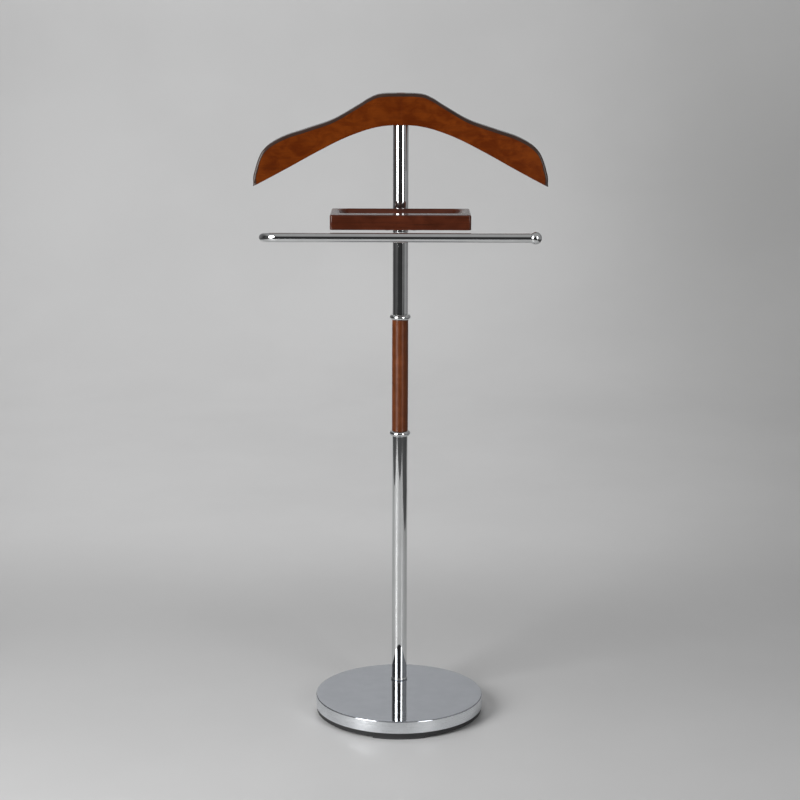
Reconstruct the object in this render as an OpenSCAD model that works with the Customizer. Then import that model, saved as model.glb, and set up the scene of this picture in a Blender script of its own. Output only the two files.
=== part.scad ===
// Valet stand: a weighted round foot, a chrome pole with a wooden grip, a
// swivelling trouser bar, a dished wooden tray and a contoured coat hanger.
// Millimetres, +Z up.  The origin is the middle of the foot disc on the floor,
// the front of the stand faces -Y and the pole stands behind the disc's middle.

/* [Foot] */
// Diameter of the foot disc
foot_d = 275; // [240:1:320]
// Height of the disc's top face above the floor
foot_top = 31; // [29:0.5:36]
// Distance from the middle of the disc back to the pole
pole_back = 65; // [40:1:80]
// Height of the rubber pads
pad_h = 3.8; // [3:0.1:5]
// Half angle that each pad covers
pad_angle = 18; // [10:1:28]

/* [Pole] */
// Outside diameter of the pole
pole_d = 25; // [25:0.5:28]
// Wall of the pole tubes
pole_wall = 1.5; // [1:0.1:2]
// Height of the lower collar's middle
lower_collar_z = 457; // [400:1:500]
// Height of the upper collar's middle
upper_collar_z = 651; // [600:1:680]
// Height of the underside of the hanger, where the pole ends
pole_top = 961.7; // [940:0.1:1100]
// Outside diameter of the two grip collars
collar_d = 34; // [30:0.5:36]
// Outside diameter of the wooden grip
grip_d = 26.5; // [25:0.1:30]

/* [Trouser bar] */
// Outside diameter of the bar
bar_d = 15; // [12:0.1:15.2]
// Distance between the back leg, which enters the pole, and the front leg
bar_reach = 121; // [118:1:130]
// Radius of the bar's two bends
bend_r = 25; // [16:1:40]
// Height of the front leg, which passes just under the tray as the bar turns
bar_z = 795.4; // [794:0.1:795.6]
// Rise of the bar from the pole to its front leg, in degrees
bar_tilt = 7.3; // [7.2:0.1:9]
// Reach of the bent end to the left
bar_left = 222; // [180:1:235]
// Reach of the ball to the right
bar_right = 220; // [180:1:235]
// Diameter of the ball
ball_d = 20.2; // [19:0.1:26]

/* [Tray] */
// Width of the tray
tray_w = 221; // [160:1:260]
// Depth of the tray from its front to its back edge
tray_depth = 95; // [90:1:120]
// Thickness of the tray
tray_h = 23.6; // [20:0.1:30]
// Height of the tray's rim
tray_top = 828.9; // [828:0.1:860]
// Depth of the dish
dish_depth = 12; // [8:0.5:14]
// Width of the rim at the two sides
rim_side = 9.5; // [8:0.5:16]
// Width of the rim at the front
rim_front = 24; // [8:0.5:30]
// Width of the rim at the back
rim_back = 6; // [4:0.5:10]

/* [Hanger] */
// Width of the hanger across its tips
hanger_w = 467.2; // [400:0.1:480]
// Thickness of the hanger at its middle
hanger_t = 30; // [29:1:36]
// Forward sweep of the front face at the tips
sweep_front = 28; // [15:1:40]
// Forward sweep of the back face at the tips
sweep_back = 18; // [5:1:20]

/* [Hidden] */
$fn = 96;
e = 1;                                  // overrun of a cutting shape

chrome = [0.78, 0.79, 0.81];
steel = [0.62, 0.63, 0.65];
iron = [0.28, 0.28, 0.29];
black = [0.07, 0.07, 0.075];
nylon = [0.86, 0.85, 0.80];
grip_wood = [0.33, 0.15, 0.08];
hanger_wood = [0.50, 0.24, 0.08];

// Foot
foot_r = foot_d / 2;
cover_t = 1.2;
cover_bottom = 10.7;
cover_edge = 2;                         // radius of the disc's top edge
weight_h = 12;
weight_r = foot_r - cover_t - 1.8;
weight_bottom = foot_top - cover_t - weight_h;
pan_t = 2;
pan_r = foot_r - cover_t - 0.3;
pad_out = pan_r - 0.5;
pad_in = pad_out - 19;
pad_turns = [-90, 30, 150];
pan_screw_pitch_r = foot_r * 0.64;
pan_screw_turns = [45, 135, 225, 315];
pan_screw_d = 4;
pan_screw_l = weight_bottom - pad_h + 4;
bolt_d = 10;
bolt_head_h = 6.4;
washer_d = 30;
washer_t = 2;
head_hole_d = 36;

// Pole
pole_r = pole_d / 2;
tube_in = pole_r - pole_wall;
post_r = 8;
plug_l = 30;
collar_h = 9;
ring_h = 4;
foot_ring_proud = 1.2;
swivel_ring_proud = 0.3;
ring_bottom = 789;
seam = 0.3;                             // gap between the turning tube and its ends
bush_l = 14;
running = 0.05;                         // radial clearance of the bushes
lower_pole_top = lower_collar_z - collar_h / 2;
middle_bottom = upper_collar_z + collar_h / 2 + seam;
middle_top = ring_bottom - seam;
ring_top = ring_bottom + ring_h;

// Trouser bar: it lies in a plane that rises from the pole to the front leg
bar_r = bar_d / 2;
bar_in = bar_r - 1.2;
bend_x = -bar_left + bar_r + bend_r;
back_leg_z = bar_z - bar_reach * sin(bar_tilt);
ball_x = bar_right - ball_d / 2;
bar_end = ball_x - 4.6;
shank_l = 12;

// Tray
tray_back = pole_back - pole_r + 2.5;
tray_front = tray_back - tray_depth;
tray_bottom = tray_top - tray_h;
tray_corner = 4;
dish_corner = 22;
bracket_t = 3;
bracket_w = 60;
bracket_front = tray_front + 32;
tray_screw_d = 3.5;
tray_screw_l = 7;
tray_screw_x = 21;
tray_screw_y = [bracket_front + 9, tray_back - 12];

// Hanger: the outline of one half, across from the pole's axis and up from
// the pole's top
hanger_k = hanger_w / 467.2;
top_line = [
    [0, 50], [32, 48.9], [50, 42.4], [69, 30.8], [108, 8.9], [150, -5.4],
    [190, -19], [219, -39.4], [232.6, -75], [233.6, -92.8]
];
under_line = [
    [233.6, -92.8], [230, -93], [182, -68.3], [134, -42.4], [86, -18.9],
    [40, -3.7], [0, 0]
];
half_w = hanger_w / 2;
front_face_y = pole_back - hanger_t / 2;
back_face_y = pole_back + hanger_t / 2;
front_arc_r = (half_w * half_w + sweep_front * sweep_front) / (2 * sweep_front);
back_arc_r = (half_w * half_w + sweep_back * sweep_back) / (2 * sweep_back);
hanger_top = pole_top + 50 * hanger_k;
hanger_bolt_d = 8;
counterbore_d = 17;
counterbore_z = hanger_top - 12;
dowel_d = 6;
dowel_l = 40;
dowel_z = pole_top + 22 * hanger_k;

// ---------- shared shapes ----------

module on_pole(z = 0) {
    translate([0, pole_back, z]) children();
}

module tube(outer, inner, h) {
    difference() {
        cylinder(r = outer, h = h);
        translate([0, 0, -e]) cylinder(r = inner, h = h + 2 * e);
    }
}

// A ring round the pole with a rounded rim
module bead(rim_r, height, bore_r) {
    round_r = height / 2;
    rotate_extrude()
        difference() {
            union() {
                square([rim_r - round_r, height]);
                translate([rim_r - round_r, round_r]) circle(r = round_r, $fn = 32);
            }
            translate([-e, -e]) square([bore_r + e, height + 2 * e]);
        }
}

module rounded_plate(x_size, y0, y1, r, h) {
    linear_extrude(h)
        union() {
            translate([-x_size / 2 + r, y0]) square([x_size - 2 * r, y1 - y0]);
            translate([-x_size / 2, y0 + r]) square([x_size, y1 - y0 - 2 * r]);
            for (x = [-1, 1])
                for (y = [y0 + r, y1 - r])
                    translate([x * (x_size / 2 - r), y]) circle(r = r, $fn = 48);
        }
}

// Smooth curve through a list of points
function between(a, b, c, d, t) =
    0.5 * (2 * b + (c - a) * t + (2 * a - 5 * b + 4 * c - d) * t * t
    + (3 * b - a - 3 * c + d) * t * t * t);
function curve(p, steps) = [
    for (i = [1 : len(p) - 3])
        for (k = [0 : steps - 1])
            between(p[i - 1], p[i], p[i + 1], p[i + 2], k / steps)
];

// ---------- foot ----------

module base_cover() {
    color(chrome)
        difference() {
            rotate_extrude($fn = 180)
                difference() {
                    cover_outline(foot_r, foot_top, cover_edge);
                    cover_outline(foot_r - cover_t, foot_top - cover_t, cover_edge - cover_t);
                    translate([0, cover_bottom - 2 * e]) square([foot_r - cover_t, 2 * e]);
                }
            on_pole(foot_top - cover_t - e) cylinder(d = bolt_d + 0.4, h = cover_t + 2 * e);
        }
}

// Half section of the closed disc with a rounded top edge
module cover_outline(r, top, edge) {
    translate([0, cover_bottom]) square([r, top - edge - cover_bottom]);
    translate([0, cover_bottom]) square([r - edge, top - cover_bottom]);
    translate([r - edge, top - edge]) circle(r = edge, $fn = 32);
}

module base_weight() {
    color(iron)
        difference() {
            translate([0, 0, weight_bottom]) cylinder(r = weight_r, h = weight_h, $fn = 180);
            on_pole(weight_bottom - e) cylinder(d = bolt_d + 1, h = weight_h + 2 * e);
            at_pan_screws(weight_bottom - e) cylinder(d = pan_screw_d, h = 9 + e, $fn = 32);
        }
}

module at_pan_screws(z) {
    for (turn = pan_screw_turns)
        rotate(turn) translate([pan_screw_pitch_r, 0, z]) children();
}

module base_pan() {
    color(black)
        difference() {
            union() {
                translate([0, 0, pad_h]) cylinder(r = pan_r, h = pan_t, $fn = 180);
                translate([0, 0, pad_h]) tube(pan_r, pan_r - 2, weight_bottom - pad_h);
                at_pan_screws(pad_h) cylinder(r = 6, h = weight_bottom - pad_h, $fn = 48);
                on_pole(pad_h) tube(head_hole_d / 2 + 2, head_hole_d / 2, weight_bottom - pad_h);
            }
            on_pole(pad_h - e) cylinder(d = head_hole_d, h = weight_bottom);
            at_pan_screws(pad_h - e) cylinder(d = pan_screw_d, h = weight_bottom, $fn = 32);
        }
}

module base_pads() {
    color(black)
        for (turn = pad_turns)
            rotate(turn - pad_angle)
                rotate_extrude(angle = 2 * pad_angle, $fn = 180)
                    translate([pad_in, 0]) square([pad_out - pad_in, pad_h]);
}

module pan_screws() {
    color(steel)
        at_pan_screws(pad_h) {
            translate([0, 0, -2.4]) cylinder(d = 8, h = 2.4, $fn = 48);
            cylinder(d = pan_screw_d, h = pan_screw_l, $fn = 32);
        }
}

module base_washer() {
    color(steel)
        on_pole(weight_bottom - washer_t) tube(washer_d / 2, bolt_d / 2 + 0.3, washer_t);
}

module base_bolt() {
    color(steel)
        on_pole(weight_bottom - washer_t) {
            translate([0, 0, -bolt_head_h]) cylinder(d = 19.6, h = bolt_head_h, $fn = 6);
            cylinder(d = bolt_d, h = foot_top + plug_l - 4 - weight_bottom + washer_t, $fn = 48);
        }
}

// ---------- pole ----------

module foot_ring() {
    color(chrome)
        on_pole(foot_top) bead(pole_r + foot_ring_proud, ring_h, pole_r);
}

module plug(bore_r, length) {
    color(steel) tube(tube_in, bore_r, length);
}

module foot_plug() {
    on_pole(foot_top) plug(bolt_d / 2, plug_l);
}

module lower_pole() {
    color(chrome)
        on_pole(foot_top) tube(pole_r, tube_in, lower_pole_top - foot_top);
}

module lower_plug() {
    on_pole(lower_pole_top - plug_l) plug(post_r, plug_l);
}

module inner_post() {
    color(steel)
        on_pole(lower_pole_top - plug_l)
            tube(post_r, post_r - 2, ring_top + plug_l - lower_pole_top + plug_l);
}

module lower_collar() {
    color(chrome)
        on_pole(lower_pole_top) bead(collar_d / 2, collar_h, post_r);
}

module grip_sleeve() {
    color(grip_wood)
        on_pole(lower_pole_top + collar_h)
            tube(grip_d / 2, post_r, upper_collar_z - lower_collar_z - collar_h);
}

module upper_collar() {
    color(chrome)
        on_pole(upper_collar_z - collar_h / 2) bead(collar_d / 2, collar_h, post_r);
}

module middle_pole() {
    color(chrome)
        difference() {
            on_pole(middle_bottom) tube(pole_r, tube_in, middle_top - middle_bottom);
            bar_frame()
                rotate([0, -90, 0]) cylinder(r = bar_r, h = pole_r + e);
        }
}

module bush(z) {
    color(nylon)
        on_pole(z) tube(tube_in, post_r + running, bush_l);
}

module lower_bush() {
    bush(middle_bottom);
}

module upper_bush() {
    bush(middle_top - bush_l);
}

module swivel_ring() {
    color(chrome)
        on_pole(ring_bottom) bead(pole_r + swivel_ring_proud, ring_h, post_r);
}

module upper_plug() {
    on_pole(ring_top) plug(post_r, plug_l);
}

module top_pole() {
    color(chrome)
        on_pole(ring_top) tube(pole_r, tube_in, pole_top - ring_top);
}

module top_plug() {
    on_pole(pole_top - 25) plug(hanger_bolt_d / 2, 25);
}

// ---------- trouser bar ----------

// Frame with its origin on the pole's axis, at the height of the back leg, and
// tilted into the plane of the bar
module bar_frame() {
    on_pole(back_leg_z) rotate([-bar_tilt, 0, 0]) children();
}

// The two legs, the side and the bends between them, as a rod of radius r that
// runs past both of its ends by extra
module bar_rod(r, extra) {
    translate([bend_x, 0, 0])
        rotate([0, 90, 0]) cylinder(r = r, h = -bend_x - post_r + extra);
    translate([bend_x, -bar_reach, 0])
        rotate([0, 90, 0]) cylinder(r = r, h = bar_end - bend_x + extra);
    translate([bend_x - bend_r, -bend_r, 0])
        rotate([90, 0, 0]) cylinder(r = r, h = bar_reach - 2 * bend_r);
    for (bend = [[-bend_r, 90], [bend_r - bar_reach, 180]])
        translate([bend_x, bend[0], 0])
            rotate(bend[1])
                rotate_extrude(angle = 90)
                    translate([bend_r, 0]) circle(r = r);
}

module trouser_bar() {
    color(chrome)
        difference() {
            bar_frame()
                difference() {
                    bar_rod(bar_r, 0);
                    bar_rod(bar_in, e);
                }
            on_pole(back_leg_z - bar_d) cylinder(r = tube_in, h = 2 * bar_d);
        }
}

module bar_ball() {
    color(chrome)
        bar_frame()
            translate([0, -bar_reach, 0]) {
                difference() {
                    translate([ball_x, 0, 0]) sphere(d = ball_d);
                    translate([bar_end - ball_d, 0, 0])
                        rotate([0, 90, 0]) cylinder(r = bar_r, h = ball_d);
                }
                translate([bar_end - shank_l, 0, 0])
                    rotate([0, 90, 0]) cylinder(r = bar_in, h = shank_l + e, $fn = 48);
            }
}

// ---------- tray ----------

module tray() {
    color(grip_wood)
        difference() {
            translate([0, 0, tray_bottom])
                rounded_plate(tray_w, tray_front, tray_back, tray_corner, tray_h);
            translate([0, 0, tray_top - dish_depth])
                rounded_plate(tray_w - 2 * rim_side, tray_front + rim_front,
                    tray_back - rim_back, dish_corner, dish_depth + e);
            on_pole(tray_bottom - e) cylinder(r = pole_r, h = tray_h + 2 * e);
            at_tray_screws(tray_bottom - e)
                cylinder(d = tray_screw_d, h = tray_screw_l + e, $fn = 32);
        }
}

module at_tray_screws(z) {
    for (x = [-tray_screw_x, tray_screw_x])
        for (y = tray_screw_y)
            translate([x, y, z]) children();
}

// Steel plate under the tray, welded to the front of the pole
module tray_bracket() {
    color(steel)
        difference() {
            translate([0, 0, tray_bottom - bracket_t])
                rounded_plate(bracket_w, bracket_front, tray_back, 5, bracket_t);
            on_pole(tray_bottom - bracket_t - e) cylinder(r = pole_r, h = bracket_t + 2 * e);
            at_tray_screws(tray_bottom - bracket_t - e)
                cylinder(d = tray_screw_d, h = bracket_t + 2 * e, $fn = 32);
        }
}

module tray_screws() {
    color(steel)
        at_tray_screws(tray_bottom - bracket_t) {
            translate([0, 0, -2]) cylinder(d = 7, h = 2, $fn = 48);
            cylinder(d = tray_screw_d, h = bracket_t + tray_screw_l, $fn = 32);
        }
}

// ---------- hanger ----------

function mirrored(p) = [-p[0], p[1]];
half_outline = concat(
    curve(concat([mirrored(top_line[1])], top_line, [top_line[9] + [1, -8]]), 6),
    curve(concat([under_line[0] + [2, 3]], under_line, [mirrored(under_line[5])]), 6),
    [[0, 0]]
);

// One half between the curved front and back faces, cut to the outline, with a
// flat seat on the pole's end
module hanger_half(side) {
    color(hanger_wood)
        difference() {
            intersection() {
                translate([0, back_face_y + e, pole_top])
                    rotate([90, 0, 0])
                        linear_extrude(back_face_y - front_face_y + sweep_front + 2 * e)
                            scale([side * hanger_k, hanger_k])
                                polygon(half_outline);
                translate([0, back_face_y - back_arc_r, pole_top - 120])
                    cylinder(r = back_arc_r, h = 240, $fn = 180);
            }
            translate([0, front_face_y - front_arc_r, pole_top - 120 - e])
                cylinder(r = front_arc_r, h = 240 + 2 * e, $fn = 180);
            on_pole(pole_top - e) cylinder(d = hanger_bolt_d + 0.6, h = 60);
            on_pole(counterbore_z) cylinder(d = counterbore_d, h = 30);
            on_pole(pole_top - 10) cylinder(d = pole_d + 0.4, h = 10);
            at_dowels(dowel_d);
        }
}

module at_dowels(d) {
    for (y = [-10, 10])
        translate([-dowel_l / 2, pole_back + y, dowel_z])
            rotate([0, 90, 0]) cylinder(d = d, h = dowel_l, $fn = 32);
}

module hanger_left() {
    hanger_half(-1);
}

module hanger_right() {
    hanger_half(1);
}

module hanger_dowels() {
    color("burlywood") at_dowels(dowel_d);
}

module hanger_washer() {
    color(steel)
        on_pole(counterbore_z) tube(counterbore_d / 2 - 0.4, hanger_bolt_d / 2 + 0.3, 1.6);
}

module hanger_bolt() {
    color(steel)
        on_pole(counterbore_z + 1.6)
            difference() {
                union() {
                    cylinder(d = 13, h = 8);
                    translate([0, 0, pole_top - 20 - counterbore_z - 1.6])
                        cylinder(d = hanger_bolt_d, h = counterbore_z + 1.6 - pole_top + 20 + e);
                }
                translate([0, 0, 4]) cylinder(d = 6.9, h = 5, $fn = 6);
            }
}

base_cover();
base_weight();
base_pan();
base_pads();
pan_screws();
base_washer();
base_bolt();
foot_ring();
foot_plug();
lower_pole();
lower_plug();
inner_post();
lower_collar();
grip_sleeve();
upper_collar();
middle_pole();
lower_bush();
upper_bush();
swivel_ring();
trouser_bar();
bar_ball();
upper_plug();
top_pole();
top_plug();
tray_bracket();
tray_screws();
tray();
hanger_left();
hanger_right();
hanger_dowels();
hanger_washer();
hanger_bolt();
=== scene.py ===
"""Valet stand: the looks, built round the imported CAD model. Metres, +Z up, the front faces -Y."""

from math import atan2, cos, pi, radians, sin, sqrt

import bmesh
import bpy
from mathutils import Matrix, Vector


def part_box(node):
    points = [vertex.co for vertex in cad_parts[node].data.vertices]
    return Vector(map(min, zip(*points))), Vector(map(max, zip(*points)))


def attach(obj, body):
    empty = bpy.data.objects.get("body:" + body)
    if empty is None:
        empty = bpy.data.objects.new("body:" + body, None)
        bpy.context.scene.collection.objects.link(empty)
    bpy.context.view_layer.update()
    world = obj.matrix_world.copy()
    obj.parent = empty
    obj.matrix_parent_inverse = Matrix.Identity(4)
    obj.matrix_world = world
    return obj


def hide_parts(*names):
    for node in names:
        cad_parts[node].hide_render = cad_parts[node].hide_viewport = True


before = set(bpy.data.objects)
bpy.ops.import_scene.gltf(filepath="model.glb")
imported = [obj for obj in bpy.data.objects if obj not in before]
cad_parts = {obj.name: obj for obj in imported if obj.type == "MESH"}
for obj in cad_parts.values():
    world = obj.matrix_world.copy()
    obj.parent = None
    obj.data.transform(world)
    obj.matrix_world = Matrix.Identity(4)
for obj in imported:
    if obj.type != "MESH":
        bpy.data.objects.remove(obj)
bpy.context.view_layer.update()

scene = bpy.context.scene
MM = 0.001
ON_AXIS = 1e-6                               # radius of an outline's points on the axis of a turned piece


# ---------- helpers: sizes from the frame ----------

def size(node):
    low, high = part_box(node)
    return high - low


def middle(node):
    low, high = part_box(node)
    return (low + high) / 2


POLE = middle("top_pole")                    # its X and Y are the pole's axis
POLE_R = size("top_pole").x / 2
TUBE_IN = POLE_R - 1.5 * MM
POST_R = size("inner_post").x / 2


# ---------- helpers: meshes ----------

def arc(centre_r, centre_z, radius, start, end, steps):
    """Points (r, z) on an arc, angles in degrees from the outward direction."""
    turns = [radians(start + (end - start) * i / steps) for i in range(steps + 1)]
    return [(centre_r + radius * cos(t), centre_z + radius * sin(t)) for t in turns]


def make_piece(name, verts, faces, materials, sharp=40, face_slots=None):
    """Smooth-shaded object, creased where faces meet at more than sharp degrees."""
    mesh = bpy.data.meshes.new(name)
    mesh.from_pydata([tuple(v) for v in verts], [], faces)
    mesh.validate()
    if face_slots:
        for face, index in zip(mesh.polygons, face_slots):
            face.material_index = index
    work = bmesh.new()
    work.from_mesh(mesh)
    bmesh.ops.remove_doubles(work, verts=work.verts, dist=1e-7)
    bmesh.ops.recalc_face_normals(work, faces=work.faces)
    work.to_mesh(mesh)
    work.free()
    for material in materials:
        mesh.materials.append(material)
    mesh.shade_smooth()
    mesh.set_sharp_from_angle(angle=radians(sharp))
    piece = bpy.data.objects.new(name, mesh)
    scene.collection.objects.link(piece)
    return piece


def lathe(name, profile, centre, materials, segments=128, sharp=40, slots=None, start=0, sweep=360):
    """Turns a closed outline of (r, z) points round a vertical axis through centre."""
    closed = sweep == 360
    stations = segments if closed else segments + 1
    verts, faces, face_slots = [], [], []
    count = len(profile)
    for s in range(stations):
        turn = radians(start + sweep * s / segments)
        for r, z in profile:
            verts.append((centre[0] + r * cos(turn), centre[1] + r * sin(turn), z))
    for s in range(segments):
        a, b = s * count, ((s + 1) % stations) * count
        for i in range(count):
            j = (i + 1) % count
            faces.append((a + i, b + i, b + j, a + j))
            face_slots.append(slots[i] if slots else 0)
    if not closed:
        faces.append(tuple(range(count)))
        faces.append(tuple(reversed(range(segments * count, segments * count + count))))
        face_slots += [0, 0]
    return make_piece(name, verts, faces, materials, sharp, face_slots)


def stand_for(piece, node, body):
    """The piece takes the CAD node's place on its body."""
    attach(piece, body)
    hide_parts(node)
    return piece


# ---------- materials ----------

class Nodes:
    """A material's node tree with short calls for the few kinds of node used here."""

    def __init__(self, name):
        self.material = bpy.data.materials.new(name)
        self.material.use_nodes = True
        self.tree = self.material.node_tree
        self.shader = self.tree.nodes["Principled BSDF"]
        self.place = self.add("ShaderNodeTexCoord").outputs["Object"]

    def add(self, kind, inputs=None, **settings):
        node = self.tree.nodes.new(kind)
        for key, value in settings.items():
            setattr(node, key, value)
        for key, value in (inputs or {}).items():
            self.put(node.inputs[key], value)
        return node

    def put(self, socket, value):
        if isinstance(value, bpy.types.NodeSocket):
            self.tree.links.new(value, socket)
        else:
            socket.default_value = value

    def stretched(self, scale):
        return self.add("ShaderNodeMapping", {"Vector": self.place, "Scale": scale}).outputs["Vector"]

    def noise(self, vector, scale, detail=3.0, roughness=0.5, distortion=0.0):
        return self.add("ShaderNodeTexNoise", {
            "Vector": vector, "Scale": scale, "Detail": detail,
            "Roughness": roughness, "Distortion": distortion,
        }).outputs["Fac"]

    def ramp(self, value, low, high, from_low=0.0, from_high=1.0):
        """Maps a value range smoothly onto another."""
        return self.add("ShaderNodeMapRange", {
            "Value": value, "From Min": from_low, "From Max": from_high,
            "To Min": low, "To Max": high,
        }, interpolation_type="SMOOTHSTEP").outputs["Result"]

    def mix(self, factor, first, second, blend="MIX"):
        node = self.add("ShaderNodeMix", data_type="RGBA", blend_type=blend)
        for socket, value in zip((node.inputs[0], node.inputs[6], node.inputs[7]), (factor, first, second)):
            self.put(socket, value)
        return node.outputs[2]

    def bump(self, height, strength, distance):
        return self.add("ShaderNodeBump", {
            "Height": height, "Strength": strength, "Distance": distance,
        }).outputs["Normal"]

    def finish(self, **inputs):
        for key, value in inputs.items():
            self.put(self.shader.inputs[key.replace("_", " ")], value)
        return self.material


def colour(r, g, b):
    return (r, g, b, 1)


def chrome(name, dull, bright):
    """Polished chrome with faint handling smudges."""
    n = Nodes(name)
    smudges = n.noise(n.place, 38, 4, 0.6)
    return n.finish(
        Base_Color=n.mix(n.ramp(smudges, 0, 1, 0.35, 0.7), dull, bright),
        Metallic=1.0,
        Roughness=n.ramp(smudges, 0.035, 0.085, 0.4, 0.75),
        Normal=n.bump(n.noise(n.place, 240, 2), 0.012, 0.0003),
    )


def brushed_chrome(name, dull, bright):
    """Satin chrome with fine lines round the axis."""
    n = Nodes(name)
    smudges = n.noise(n.place, 38, 4, 0.6)
    lines = n.noise(n.stretched((30, 30, 2600)), 1, 2, 0.5)
    return n.finish(
        Base_Color=n.mix(n.ramp(smudges, 0, 1, 0.35, 0.7), dull, bright),
        Metallic=1.0,
        Roughness=n.ramp(lines, 0.26, 0.40, 0.3, 0.7),
        Normal=n.bump(lines, 0.12, 0.0002),
    )


def wood(name, dark, light, grain_scale, cloud_scale, grain_depth, coat,
         gloss=0.12, rough=0.44, turned=0.0):
    """Stained wood under varnish: cloudy stain, long grain and fine pores; a turned piece
    keeps fine marks round its axis, which draw its highlights out along the axis."""
    n = Nodes(name)
    clouds = n.noise(n.stretched((1, 1, 1.6)), cloud_scale, 5, 0.62, 0.6)
    grain = n.noise(n.stretched(grain_scale), 1, 5, 0.62, 0.6)
    pores = n.noise(n.stretched(tuple(3.2 * s for s in grain_scale)), 1, 2, 0.5)
    body = n.mix(n.ramp(clouds, 0, 1, 0.3, 0.7), dark, light)
    lined = n.mix(n.ramp(grain, 0, grain_depth, 0.42, 0.68), body, tuple(0.55 * c for c in dark[:3]) + (1,))
    pored = n.mix(n.ramp(pores, 0, 0.35 * grain_depth, 0.6, 0.75), lined, colour(0.012, 0.005, 0.002))
    if turned:
        n.finish(
            Anisotropic=turned,
            Anisotropic_Rotation=0.25,
            Tangent=n.add("ShaderNodeTangent", direction_type="RADIAL", axis="Z").outputs[0],
        )
    return n.finish(
        Base_Color=pored,
        Roughness=n.ramp(clouds, rough - 0.06, rough + 0.06, 0.3, 0.7),
        Specular_IOR_Level=gloss,
        Normal=n.bump(grain, 0.05, 0.0002),
        Coat_Weight=coat,
        Coat_Roughness=0.06,
    )


def plain(name, base, speck, rough, bump_scale, bump_strength, metallic=0.0):
    """Moulded, cast or plated stuff: slight colour variation and a fine surface."""
    n = Nodes(name)
    spots = n.noise(n.place, bump_scale, 4, 0.6)
    patches = n.noise(n.place, 26, 2)
    return n.finish(
        Base_Color=n.mix(n.ramp(spots, 0, 1, 0.3, 0.7), base, speck),
        Metallic=metallic,
        Roughness=n.ramp(patches, rough - 0.06, rough + 0.06, 0.35, 0.65),
        Normal=n.bump(spots, bump_strength, 0.0004),
    )


CHROME = chrome("polished_chrome", colour(0.71, 0.72, 0.72), colour(0.76, 0.77, 0.775))
# Foot's top: the polished chrome made darker and bluish, a painted reflection of the wall it mirrors
TOP_CHROME_PAINTED_REFLECTION = chrome("foot_top_chrome_painted_reflection", colour(0.515, 0.54, 0.585), colour(0.55, 0.575, 0.62))
# Foot's rim: a real brushed finish, its colour made lighter and bluer than the pole's chrome as a painted
# reflection
RIM_CHROME_PAINTED_REFLECTION = brushed_chrome("brushed_chrome_rim_painted_reflection", colour(0.74, 0.76, 0.785), colour(0.80, 0.82, 0.845))
BROWN_WOOD = wood(
    "brown_wood", colour(0.050, 0.0105, 0.0034), colour(0.083, 0.0175, 0.0056),
    grain_scale=(9, 60, 420), cloud_scale=22, grain_depth=0.6, coat=0.65, gloss=0.08)
GRIP_WOOD = wood(
    "grip_wood", colour(0.098, 0.0222, 0.0031), colour(0.155, 0.037, 0.0056),
    grain_scale=(420, 420, 9), cloud_scale=22, grain_depth=0.5, coat=0.1, gloss=0.4, rough=0.36, turned=0.72)
AMBER_WOOD = wood(
    "amber_wood", colour(0.081, 0.0125, 0.0003), colour(0.138, 0.0264, 0.0007),
    grain_scale=(12, 90, 240), cloud_scale=38, grain_depth=0.22, coat=0.3, gloss=0.06)
EDGE_WOOD = wood(
    "dark_edge_wood", colour(0.026, 0.013, 0.009), colour(0.038, 0.019, 0.013),
    grain_scale=(12, 90, 240), cloud_scale=30, grain_depth=0.22, coat=0.55)
PALE_WOOD = wood(
    "pale_wood", colour(0.52, 0.36, 0.2), colour(0.66, 0.49, 0.3),
    grain_scale=(9, 300, 300), cloud_scale=22, grain_depth=0.4, coat=0.0)
STEEL = plain(
    "zinc_plated_steel", colour(0.55, 0.56, 0.58), colour(0.66, 0.67, 0.69),
    rough=0.32, bump_scale=900, bump_strength=0.06, metallic=1.0)
IRON = plain(
    "cast_iron", colour(0.035, 0.035, 0.037), colour(0.09, 0.088, 0.086),
    rough=0.62, bump_scale=420, bump_strength=0.5, metallic=0.7)
BLACK_PAINT = plain(
    "satin_black_paint", colour(0.022, 0.022, 0.023), colour(0.034, 0.034, 0.035),
    rough=0.42, bump_scale=700, bump_strength=0.1)
BLACK_PLASTIC = plain(
    "black_plastic", colour(0.014, 0.014, 0.015), colour(0.022, 0.022, 0.023),
    rough=0.55, bump_scale=1400, bump_strength=0.15)
RUBBER = plain(
    "rubber", colour(0.032, 0.032, 0.034), colour(0.05, 0.05, 0.052),
    rough=0.78, bump_scale=1100, bump_strength=0.25)
NYLON = plain(
    "nylon", colour(0.66, 0.65, 0.6), colour(0.74, 0.73, 0.68),
    rough=0.5, bump_scale=800, bump_strength=0.08)

CAD_FINISH = {
    "base_weight": IRON, "base_pan": BLACK_PLASTIC, "pan_screws": STEEL, "base_washer": STEEL,
    "base_bolt": STEEL, "foot_plug": STEEL, "lower_plug": STEEL, "inner_post": STEEL,
    "lower_bush": NYLON, "upper_bush": NYLON, "upper_plug": STEEL, "top_plug": STEEL,
    "tray_bracket": BLACK_PAINT, "tray_screws": STEEL, "hanger_dowels": PALE_WOOD,
    "hanger_washer": STEEL, "hanger_bolt": STEEL,
}


def finish_cad_nodes():
    """The inner and hidden parts keep their CAD shapes and get a material each."""
    for node, material in CAD_FINISH.items():
        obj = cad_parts[node]
        obj.data.materials.clear()
        obj.data.materials.append(material)


# ---------- foot ----------

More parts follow.
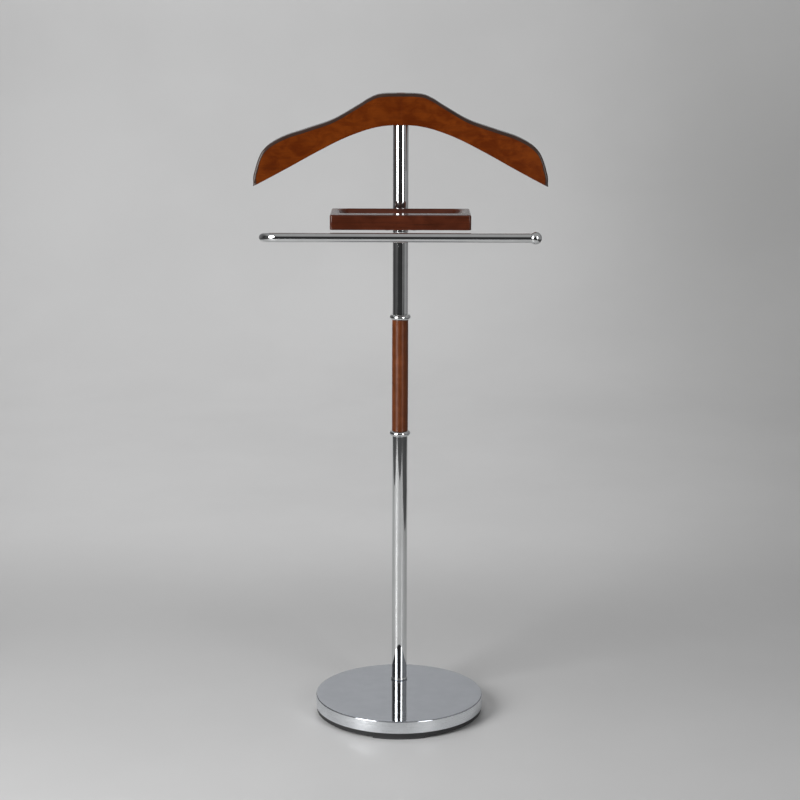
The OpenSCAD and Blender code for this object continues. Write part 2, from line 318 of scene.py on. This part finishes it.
def make_cover():
    """Pressed disc: polished top, brushed rim, rounded top edge and a small hem at the bottom."""
    low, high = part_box("base_cover")
    r = (high.x - low.x) / 2
    wall, edge, hem = 1.2 * MM, 2.0 * MM, 0.6 * MM
    top_edge = arc(r - edge, high.z - edge, edge, 0, 90, 10)
    inner_edge = arc(r - edge, high.z - edge, edge - wall, 90, 0, 4)
    profile = (
        arc(r - hem, low.z + hem, hem, -90, 0, 4) + top_edge
        + [(r - 12 * MM, high.z), (r * 0.5, high.z), (ON_AXIS, high.z), (ON_AXIS, high.z - wall)]
        + inner_edge + [(r - wall, low.z + hem), (r - wall, low.z)]
    )
    slots = [1 if pr > r - edge * 0.3 and pz < high.z - edge * 0.75 else 0 for pr, pz in profile]
    # The top takes the darker bluish chrome and the rim the lighter bluish brushed chrome, both tinted as
    # painted reflection
    piece = lathe("base_cover_skin", profile, (0, 0), [TOP_CHROME_PAINTED_REFLECTION, RIM_CHROME_PAINTED_REFLECTION],
                  segments=256, sharp=50, slots=slots)
    return stand_for(piece, "base_cover", "stand")


def make_pads():
    """Three rubber arcs with rounded lower edges."""
    low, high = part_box("base_pads")
    outer = -low.y
    inner, half_angle, edge = outer - 19 * MM, 18, 1.2 * MM
    profile = (
        [(inner, high.z)] + [(inner, low.z + edge)] + arc(inner + edge, low.z + edge, edge, 180, 270, 4)
        + arc(outer - edge, low.z + edge, edge, -90, 0, 4) + [(outer, high.z)]
    )
    for name, turn in (("front", -90), ("right", 30), ("left", 150)):
        piece = lathe("pad_" + name, profile, (0, 0), [RUBBER], segments=40,
                      start=turn - half_angle, sweep=2 * half_angle)
        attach(piece, "stand")
        if name == "front":
            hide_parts("base_pads")


# ---------- pole ----------

def make_tube(node, body):
    """One of the pole's tubes, with eased ends."""
    low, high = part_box(node)
    r = (high.x - low.x) / 2
    edge = 0.35 * MM
    profile = [
        (r, low.z + edge), (r, high.z - edge), (r - edge, high.z), (TUBE_IN, high.z),
        (TUBE_IN, low.z), (r - edge, low.z),
    ]
    piece = lathe(node + "_tube", profile, POLE, [CHROME], segments=160, sharp=30)
    return stand_for(piece, node, body)


def make_bead(node):
    """Ring on the inner post with a fully rounded rim."""
    low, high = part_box(node)
    rim, half = (high.x - low.x) / 2, (high.z - low.z) / 2
    profile = arc(rim - half, low.z + half, half, -90, 90, 20)
    profile += [(POST_R, high.z), (POST_R, low.z)]
    piece = lathe(node + "_bead", profile, POLE, [CHROME], sharp=50)
    return stand_for(piece, node, "stand")


def make_foot_ring():
    """Full round bead that hugs the pole where it meets the foot."""
    low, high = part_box("foot_ring")
    rim, half = (high.x - low.x) / 2, (high.z - low.z) / 2
    bore = POLE_R + 0.01 * MM
    reach = rim - bore
    outline = [(bore + reach * cos(t), low.z + half + half * sin(t))
               for t in (radians(-90 + 180 * i / 24) for i in range(25))]
    piece = lathe("foot_ring_bead", outline, POLE, [CHROME], sharp=50)
    return stand_for(piece, "foot_ring", "stand")


def make_grip():
    """Turned wooden sleeve, very slightly barrelled, with eased ends."""
    low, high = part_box("grip_sleeve")
    r = (high.x - low.x) / 2
    ease, steps = 1.0 * MM, 24
    outside = [
        (r - 0.12 * MM * (2 * i / steps - 1) ** 4, low.z + ease + (high.z - low.z - 2 * ease) * i / steps)
        for i in range(steps + 1)
    ]
    profile = (
        arc(r - ease, low.z + ease, ease, -90, 0, 5)[:-1] + outside
        + arc(r - ease, high.z - ease, ease, 0, 90, 5)[1:] + [(POST_R, high.z), (POST_R, low.z)]
    )
    piece = lathe("grip_wood", profile, POLE, [GRIP_WOOD])
    return stand_for(piece, "grip_sleeve", "stand")


# ---------- trouser bar ----------

BAR_TILT = radians(7.3)
BAR_REACH = 121 * MM
BAR_R = 7.5 * MM
BAR_WALL = 1.2 * MM
BEND_R = 25 * MM
FRONT_LEG_Z = 795.4 * MM
BACK_LEG_Z = FRONT_LEG_Z - BAR_REACH * sin(BAR_TILT)
BALL_R = size("bar_ball").z / 2
BALL_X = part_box("bar_ball")[1].x - BALL_R
BAR_END = BALL_X - 4.6 * MM
BAR_FRAME = Matrix.Translation((POLE.x, POLE.y, BACK_LEG_Z)) @ Matrix.Rotation(-BAR_TILT, 4, "X")


def bar_path():
    """Centreline points with their in-plane normals, in the bar's own plane."""
    bend_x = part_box("trouser_bar")[0].x + BAR_R + BEND_R
    start = -(POLE_R - 1.0 * MM)
    side = bend_x - BEND_R
    path = [((start + (bend_x - start) * i / 12, 0), (0, 1)) for i in range(12)]
    for centre_y, first in ((-BEND_R, 90), (BEND_R - BAR_REACH, 180)):
        for i in range(33):
            t = radians(first + 90 * i / 32)
            path.append(((bend_x + BEND_R * cos(t), centre_y + BEND_R * sin(t)), (cos(t), sin(t))))
        if first == 90:
            run = BAR_REACH - 2 * BEND_R
            path += [((side, -BEND_R - run * i / 6), (-1, 0)) for i in range(1, 6)]
    return path + [((bend_x + (BAR_END - bend_x) * i / 24, -BAR_REACH), (0, -1)) for i in range(1, 25)]


def make_bar():
    """U-shaped tube; the back leg's end follows the pole it is welded to."""
    segments = 64
    path = bar_path()
    verts, faces = [], []
    for radius in (BAR_R, BAR_R - BAR_WALL):
        for index, ((x, y), (nx, ny)) in enumerate(path):
            for s in range(segments):
                turn = 2 * pi * s / segments
                out, up = radius * cos(turn), radius * sin(turn)
                point = Vector((x + out * nx, y + out * ny, up))
                if index == 0:
                    point.x = -sqrt((POLE_R - 0.6 * MM) ** 2 - point.y ** 2)
                verts.append(BAR_FRAME @ point)
    stations = len(path)
    for shell in (0, 1):
        base = shell * stations * segments
        for i in range(stations - 1):
            for s in range(segments):
                t = (s + 1) % segments
                faces.append((base + i * segments + s, base + i * segments + t,
                              base + (i + 1) * segments + t, base + (i + 1) * segments + s))
    inner = stations * segments
    for first in (0, (stations - 1) * segments):
        for s in range(segments):
            t = (s + 1) % segments
            faces.append((first + s, first + t, inner + first + t, inner + first + s))
    piece = make_piece("bar_tube", verts, faces, [CHROME])
    return stand_for(piece, "trouser_bar", "trouser_bar")


def make_ball():
    """Ball turned on the bar's axis, with a tiny neck where it meets the tube."""
    neck_r = BAR_R + 0.35 * MM
    neck_x = -sqrt(BALL_R ** 2 - neck_r ** 2)
    seat_r = BAR_R + 0.02 * MM
    shank = BAR_R - BAR_WALL - 0.05 * MM
    shoulder = BAR_END - BALL_X
    shank_end = shoulder - 12 * MM
    start, steps = atan2(neck_r, neck_x), 48
    turns = [start * (1 - i / steps) for i in range(steps)]
    outline = [(seat_r, neck_x + 0.25 * MM)]
    outline += [(BALL_R * sin(t), BALL_R * cos(t)) for t in turns]
    outline += [(ON_AXIS, BALL_R), (ON_AXIS, shank_end)]
    outline += [(shank, shank_end), (shank, shoulder), (seat_r, shoulder)]
    to_bar = BAR_FRAME @ Matrix.Translation((BALL_X, -BAR_REACH, 0)) @ Matrix.Rotation(pi / 2, 4, "Y")
    piece = lathe("bar_end_ball", outline, (0, 0), [CHROME], segments=96)
    piece.data.transform(to_bar)
    return stand_for(piece, "bar_ball", "trouser_bar")


# ---------- tray ----------

def rounded_ring(half_x, y0, y1, corner, z, per_corner=10, per_side=(24, 12)):
    """Points round a level rounded rectangle, always in the same order and number."""
    points = []
    corners = [(half_x - corner, y1 - corner, 0), (-half_x + corner, y1 - corner, 90),
               (-half_x + corner, y0 + corner, 180), (half_x - corner, y0 + corner, 270)]
    for index, (cx, cy, start) in enumerate(corners):
        for i in range(per_corner + 1):
            t = radians(start + 90 * i / per_corner)
            points.append((cx + corner * cos(t), cy + corner * sin(t)))
        nx, ny, nstart = corners[(index + 1) % 4]
        t = radians(nstart)
        (ax, ay), bx, by = points[-1], nx + corner * cos(t), ny + corner * sin(t)
        steps = per_side[index % 2]
        for i in range(1, steps):
            points.append((ax + (bx - ax) * i / steps, ay + (by - ay) * i / steps))
    return [(x, y, z) for x, y in points]


def make_tray():
    """Block with eased edges and a dish that is steep at the back and sides and shallow at the front."""
    low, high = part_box("tray")
    half_x = (high.x - low.x) / 2
    ease, top_ease, front_ease, under_ease, corner = 2.2 * MM, 2.2 * MM, 2.6 * MM, 0.9 * MM, 4 * MM
    depth = 12 * MM
    rings = []

    def ring(inset, z, side=None, front=None, back=None, radius=None):
        side = inset if side is None else side
        rings.append(rounded_ring(
            half_x - side, low.y + (inset if front is None else front),
            high.y - (inset if back is None else back),
            max(corner - inset, 1.2 * MM) if radius is None else radius, z))

    for i in range(5):
        t = radians(90 * i / 4)
        ring(under_ease * (1 - sin(t)), low.z + under_ease * (1 - cos(t)))
    for i in range(9):
        t = radians(90 * i / 8)
        ring(ease * (1 - cos(t)), high.z - top_ease * (1 - sin(t)), None, front_ease * (1 - cos(t)))
    # The dish: its rim's distance from the block's sides, and how far its walls run inwards
    rim_side, rim_front, rim_back = 9.5 * MM, 24 * MM, 4 * MM
    run_side, run_front, run_back = 18 * MM, 22 * MM, 12 * MM
    lip_side, lip, lip_corner = 2.2 * MM, 1.2 * MM, 14 * MM
    flare, steps = 1.5 * MM, 16
    rim_corner_mm, floor_corner_mm = 18, 14
    ring(0, high.z, rim_side - lip_side, rim_front - lip, rim_back - lip, lip_corner)
    for i in range(steps + 1):
        t = i / steps
        drop = depth * (3 * t * t - 2 * t ** 3)
        ring(0, high.z - drop, rim_side + run_side * t - flare * (1 - t), rim_front + run_front * t,
             rim_back + run_back * t, (rim_corner_mm - (rim_corner_mm - floor_corner_mm) * t) * MM)
    verts = [p for r in rings for p in r]
    count = len(rings[0])
    faces = [
        (k * count + i, k * count + (i + 1) % count, (k + 1) * count + (i + 1) % count, (k + 1) * count + i)
        for k in range(len(rings) - 1) for i in range(count)
    ]
    faces += [tuple(range(count)), tuple(range(len(verts) - count, len(verts)))]
    piece = make_piece("tray_block", verts, faces, [BROWN_WOOD], sharp=50)
    hole = Vector((POLE.x, POLE.y, (low.z + high.z) / 2))
    cut_round(piece, hole, POLE_R + 0.02 * MM, high.z - low.z + 10 * MM)
    return stand_for(piece, "tray", "stand")


def cut_round(piece, centre, radius, length):
    """Cuts a vertical round hole and leaves the result as the piece's own mesh."""
    bpy.ops.mesh.primitive_cylinder_add(vertices=128, radius=radius, depth=length, location=centre)
    cutter = bpy.context.active_object
    modifier = piece.modifiers.new("cut", "BOOLEAN")
    modifier.operation = "DIFFERENCE"
    modifier.solver = "EXACT"
    modifier.object = cutter
    bpy.context.view_layer.update()
    result = bpy.data.meshes.new_from_object(piece.evaluated_get(bpy.context.evaluated_depsgraph_get()))
    piece.modifiers.clear()
    piece.data = result
    bpy.data.objects.remove(cutter)


# ---------- hanger ----------

POLE_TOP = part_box("top_pole")[1].z
HANGER_T = 30 * MM
SWEEP_FRONT, SWEEP_BACK = 28 * MM, 18 * MM
HANGER_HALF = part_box("hanger_right")[1].x
# Outline of one half in mm: across from the pole's axis and up from the pole's top
TOP_LINE = [
    (0, 50), (32, 48.9), (50, 42.4), (69, 30.8), (108, 8.9), (150, -5.4),
    (190, -19), (219, -39.4), (232.6, -75), (233.6, -92.8),
]
UNDER_LINE = [(0, 0), (40, -3.7), (86, -18.9), (134, -42.4), (182, -68.3), (230, -93), (233.6, -92.8)]


def spline(points, before, after, steps):
    """Catmull-Rom curve through the points, in metres."""
    p = [Vector(q) * MM for q in [before] + points + [after]]
    out = []
    for i in range(1, len(p) - 2):
        a, b, c, d = p[i - 1], p[i], p[i + 1], p[i + 2]
        for k in range(steps):
            t = k / steps
            out.append(0.5 * (2 * b + (c - a) * t + (2 * a - 5 * b + 4 * c - d) * t ** 2
                              + (3 * b - a - 3 * c + d) * t ** 3))
    return out + [p[-2]]


def resample(points, fractions):
    """Points at the given shares of a polyline's length."""
    lengths = [0.0]
    for a, b in zip(points, points[1:]):
        lengths.append(lengths[-1] + (b - a).length)
    out, i = [], 0
    for f in fractions:
        goal = f * lengths[-1]
        while i < len(points) - 2 and lengths[i + 1] < goal:
            i += 1
        span = lengths[i + 1] - lengths[i]
        out.append(points[i].lerp(points[i + 1], (goal - lengths[i]) / span if span else 0))
    return out


def distance_to(line, p):
    """Shortest distance from a point to a polyline."""
    best = 1e9
    for a, b in zip(line, line[1:]):
        d = b - a
        t = max(0, min(1, (p - a).dot(d) / d.length_squared))
        best = min(best, (p - a - d * t).length)
    return best


def make_hanger(side):
    """One half: curved front and back faces inside the outline, well rounded along the top and end."""
    name = "hanger_right" if side > 0 else "hanger_left"
    top = spline(TOP_LINE, (-32, 48.9), (234.6, -100.8), 16)
    under = spline(UNDER_LINE, (-40, -3.7), (240, -92.8), 16)
    columns = 150
    fractions = [i / columns for i in range(columns + 1)]
    top_points = resample(top, fractions)
    under_points = resample(under, [f ** 0.96 for f in fractions])
    top_round, under_round, seam_round = 4.8 * MM, 0.6 * MM, 0.2 * MM
    # Rows of each face: at shares of the margin that is rounded, then evenly spaced
    margin = 5.0 * MM
    near = [d / 5.0 for d in (0, 0.03, 0.12, 0.3, 0.6, 1.0, 1.5, 2.2, 3.0, 4.0, 5.0)]
    rows = 10
    back_y, front_y = POLE.y + HANGER_T / 2, POLE.y - HANGER_T / 2
    back_r = (HANGER_HALF ** 2 + SWEEP_BACK ** 2) / (2 * SWEEP_BACK)
    front_r = (HANGER_HALF ** 2 + SWEEP_FRONT ** 2) / (2 * SWEEP_FRONT)

    def face_y(x, front):
        y, r = (front_y, front_r) if front else (back_y, back_r)
        return y - (r - sqrt(r * r - x * x))

    def ease(distance, radius):
        if distance >= radius:
            return 0.0
        return radius - sqrt(max(0.0, radius ** 2 - (radius - distance) ** 2))

    def lines(a, b):
        length = (b - a).length
        reach = min(margin, length * 0.4)
        head = [d * reach / max(length, 1e-9) for d in near]
        inner = [head[-1] + (1 - 2 * head[-1]) * i / rows for i in range(1, rows)]
        return head + inner + [1 - h for h in reversed(head)]

    verts, edge_shares = [], []
    per_column = 2 * len(near) + rows - 1
    for front in (True, False):
        for i in range(columns):
            a, b = top_points[i], under_points[i]
            for v in lines(a, b):
                p = a.lerp(b, v)
                d_top, d_under = distance_to(top, p), distance_to(under, p)
                inward = max(ease(d_top, top_round), ease(d_under, under_round), ease(p.x, seam_round))
                y = face_y(p.x, front) + (inward if front else -inward)
                verts.append((side * p.x, y, POLE_TOP + p.y))
                edge_shares.append(d_top / top_round)
    faces = []
    shell = columns * per_column
    for base in (0, shell):
        for i in range(columns - 1):
            for j in range(per_column - 1):
                a = base + i * per_column + j
                faces.append((a, a + 1, a + per_column + 1, a + per_column))
    for i in range(columns - 1):
        for j in (0, per_column - 1):
            a = i * per_column + j
            faces.append((a, a + per_column, a + per_column + shell, a + shell))
    for i in (0, columns - 1):
        for j in range(per_column - 1):
            a = i * per_column + j
            faces.append((a, a + 1, a + 1 + shell, a + shell))
    slots = [1 if sum(edge_shares[v] for v in face) < 0.98 * len(face) else 0 for face in faces]
    piece = make_piece(name + "_wood", verts, faces, [AMBER_WOOD, EDGE_WOOD], sharp=42, face_slots=slots)
    recess_r, bolt_hole_r = 8.5 * MM, 4.3 * MM
    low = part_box("hanger_washer")[0].z
    cut_round(piece, Vector((POLE.x, POLE.y, low + 20 * MM)), recess_r, 40 * MM)
    cut_round(piece, Vector((POLE.x, POLE.y, POLE_TOP + 20 * MM)), bolt_hole_r, 60 * MM)
    return stand_for(piece, name, "stand")


# ---------- studio ----------

def make_camera():
    """Same place and lens as the view of the stand that the looks are matched to."""
    data = bpy.data.cameras.new("camera")
    data.sensor_width = 36
    data.lens = 89.94
    data.clip_end = 60
    camera = bpy.data.objects.new("camera", data)
    scene.collection.objects.link(camera)
    tilt, roll = radians(90 - 11.93), radians(0.17)
    place = Matrix.Translation((0, -3.147, 1.191))
    camera.matrix_world = place @ Matrix.Rotation(tilt, 4, "X") @ Matrix.Rotation(roll, 4, "Z")
    scene.camera = camera


def paper(name, tone, sheen, rough, painted_light_and_shade=False):
    """Matt paper. With painted light and shade, its colour is darker just behind the stand (painted shade),
    palest where the sweep begins to rise (painted light) and darker towards the right (painted shade)."""
    n = Nodes(name)
    blotches = n.noise(n.place, 1.6, 4, 0.55)
    base = n.mix(n.ramp(blotches, 0, 1, 0.3, 0.7), colour(*(tone * 0.97,) * 3), colour(*(tone * 1.02,) * 3))
    if painted_light_and_shade:
        parts = n.add("ShaderNodeSeparateXYZ", {"Vector": n.place}).outputs
        height = n.add("ShaderNodeMapRange", {"Value": parts[2], "From Max": 1.05}).outputs["Result"]
        rise = n.add("ShaderNodeMath", {0: height, 1: 0.6}, operation="POWER").outputs[0]
        # Painted light and shade: near darkens the paper just behind the stand, wall brightens it where the
        # sweep begins to rise
        near = n.mix(n.ramp(parts[1], 0, 1, -0.35, 0.5), colour(1, 1, 1), colour(0.88, 0.88, 0.88))
        wall = n.mix(rise, colour(1.27, 1.27, 1.27), colour(1.03, 1.03, 1.03))
        # Painted shade towards the right, strongest low down and weaker high up
        low_shade = n.mix(rise, colour(0.82, 0.82, 0.815), colour(0.77, 0.77, 0.765))
        shade = n.mix(n.ramp(parts[2], 0, 1, 0.35, 1.2), low_shade, colour(0.96, 0.96, 0.955))
        shaded = n.mix(n.ramp(parts[0], 0, 1, 0.2, 1.25), wall, n.mix(1.0, wall, shade, "MULTIPLY"))
        high = n.mix(n.ramp(parts[1], 0, 1, 0.42, 1.15), near, shaded)
        base = n.mix(1.0, base, high, "MULTIPLY")
    return n.finish(
        Base_Color=base,
        Roughness=rough,
        Specular_IOR_Level=sheen,
        Normal=n.bump(n.noise(n.place, 90, 3), 0.04, 0.001),
    )


def surface(name, verts, faces, material, camera_only=False):
    """Piece of the stage, which is no part of the stand."""
    mesh = bpy.data.meshes.new(name)
    mesh.from_pydata(verts, [], faces)
    mesh.materials.append(material)
    mesh.shade_smooth()
    obj = bpy.data.objects.new(name, mesh)
    scene.collection.objects.link(obj)
    if camera_only:
        obj.visible_diffuse = obj.visible_glossy = obj.visible_shadow = False
    return obj


def sheet(name, across, along, z, material, camera_only=False):
    """Level rectangle between two values of X and two of Y."""
    (x0, x1), (y0, y1) = across, along
    corners = [(x0, y0, z), (x1, y0, z), (x1, y1, z), (x0, y1, z)]
    return surface(name, corners, [(0, 1, 2, 3)], material, camera_only)


def make_sweep():
    """Pale floor that curves up into the backdrop, and a dark studio floor round it that only
    reflections show; to the camera the pale floor goes on."""
    left, right_front, right_back = -1.45, 1.05, 1.45
    front, joint, back, bend, top = -1.45, 1.0, 2.4, 1.3, 4.2
    line = [(joint, 0), (back, 0)]
    line += [(back + bend * sin(radians(a)), bend * (1 - cos(radians(a)))) for a in range(6, 91, 6)]
    line += [(back + bend, top)]
    verts = [(x, y, z) for y, z in line for x in (left, right_back)]
    faces = [(2 * i, 2 * i + 1, 2 * i + 3, 2 * i + 2) for i in range(len(line) - 1)]
    # The backdrop paper carries painted light and shade in its colour
    backdrop = paper("backdrop_paper_painted_light", tone=0.62, sheen=0.5, rough=0.42, painted_light_and_shade=True)
    dark = paper("dark_floor", tone=0.1, sheen=0.3, rough=0.5)
    surface("backdrop", verts, faces, backdrop)
    sheet("floor_paper", (left, right_front), (front, joint), 0, backdrop)
    near, far = (-3.0, 3.0), (-14, 14)
    sheet("studio_floor", near, near, -0.004, dark)
    sheet("floor_beyond", far, far, -0.002, backdrop, camera_only=True)


def soft_light(name, width, height, power, place, turn):
    """Oval soft light at a place; turn is the rotation that aims it."""
    data = bpy.data.lights.new(name, "AREA")
    data.shape = "ELLIPSE"
    data.size, data.size_y, data.energy = width, height, power
    light = bpy.data.objects.new(name, data)
    scene.collection.objects.link(light)
    light.matrix_world = Matrix.Translation(place) @ turn
    light.visible_camera = False
    return light


def softbox(name, azimuth, distance, width, height, bottom, power):
    """Upright soft light at an azimuth from the camera's direction, facing the pole."""
    a = radians(azimuth)
    place = Vector((distance * sin(a), POLE.y - distance * cos(a), bottom + height / 2))
    aim = Vector((0, POLE.y, place.z)) - place
    return soft_light(name, width, height, power, place, aim.to_track_quat("-Z", "Y").to_matrix().to_4x4())


def make_lights():
    """A stronger softbox at the left, a weaker one at the right and a wash on the backdrop."""
    softbox("softbox_left", azimuth=-47, distance=2.2, width=1.25, height=2.0, bottom=0.525, power=69)
    softbox("softbox_right", azimuth=36, distance=2.4, width=0.88, height=2.0, bottom=0.48, power=21)
    wash = soft_light("backdrop_wash", width=3.0, height=0.6, power=60,
                      place=(-1.0, 1.6, 3.6), turn=Matrix.Rotation(radians(48), 4, "X"))
    wash.visible_glossy = False


# Brightness of the room round the set, by the azimuth from the camera's direction to the right
ROOM = [
    (-180, 0.25), (-122, 0.14), (-97, 0.03), (-77, 0.09), (-50, 0.10), (-27, 0.03), (0, 0.035),
    (22, 0.02), (38, 0.2), (54, 0.1), (77, 0.34), (97, 0.25), (180, 0.25),
]
CEILING_FRONT, CEILING_BACK = 0.38, 0.24
ROOM_GLOW = 0.11


def make_room():
    """The unlit room and its paler ceiling, which only mirror-like surfaces show."""
    world = bpy.data.worlds.new("studio")
    world.use_nodes = True
    tree = world.node_tree

    def node(kind, *links, **settings):
        new = tree.nodes.new(kind)
        for key, value in settings.items():
            setattr(new, key, value)
        for socket, value in zip(new.inputs, links):
            if isinstance(value, bpy.types.NodeSocket):
                tree.links.new(value, socket)
            else:
                socket.default_value = value
        return new

    direction = node("ShaderNodeTexCoord").outputs["Generated"]
    parts = node("ShaderNodeSeparateXYZ", direction).outputs
    forward = node("ShaderNodeMath", parts[1], -1.0, operation="MULTIPLY").outputs[0]
    azimuth = node("ShaderNodeMath", parts[0], forward, operation="ARCTAN2").outputs[0]
    share = node("ShaderNodeMapRange", azimuth, -pi, pi, 0.0, 1.0).outputs[0]
    ramp = node("ShaderNodeValToRGB", share)
    stops = ramp.color_ramp.elements
    while len(stops) < len(ROOM):
        stops.new(0.5)
    for stop, (angle, tone) in zip(stops, ROOM):
        stop.position = angle / 360 + 0.5
        stop.color = colour(tone, tone, tone * 1.01)
    height = node("ShaderNodeMapRange", parts[2], 0.42, 0.66, 0.0, 1.0).outputs[0]
    room = node("ShaderNodeMix", height, data_type="RGBA")
    tree.links.new(ramp.outputs[0], room.inputs[6])
    backward = node("ShaderNodeMapRange", parts[1], -0.1, 0.6, CEILING_FRONT, CEILING_BACK).outputs[0]
    tree.links.new(backward, room.inputs[7])
    glossy = node("ShaderNodeLightPath").outputs["Is Glossy Ray"]
    tone = node("ShaderNodeMix", glossy, data_type="RGBA")
    tone.inputs[6].default_value = colour(ROOM_GLOW, ROOM_GLOW, ROOM_GLOW * 1.01)
    tree.links.new(room.outputs[2], tone.inputs[7])
    tree.links.new(tone.outputs[2], tree.nodes["Background"].inputs["Color"])
    scene.world = world
    scene.view_settings.view_transform = "Standard"


# ---------- build ----------

make_camera()
make_lights()
make_room()
make_sweep()
finish_cad_nodes()
make_cover()
make_pads()
for node, body in (("lower_pole", "stand"), ("middle_pole", "trouser_bar"), ("top_pole", "stand")):
    make_tube(node, body)
make_foot_ring()
for node in ("lower_collar", "upper_collar", "swivel_ring"):
    make_bead(node)
make_grip()
make_bar()
make_ball()
make_tray()
make_hanger(-1)
make_hanger(1)
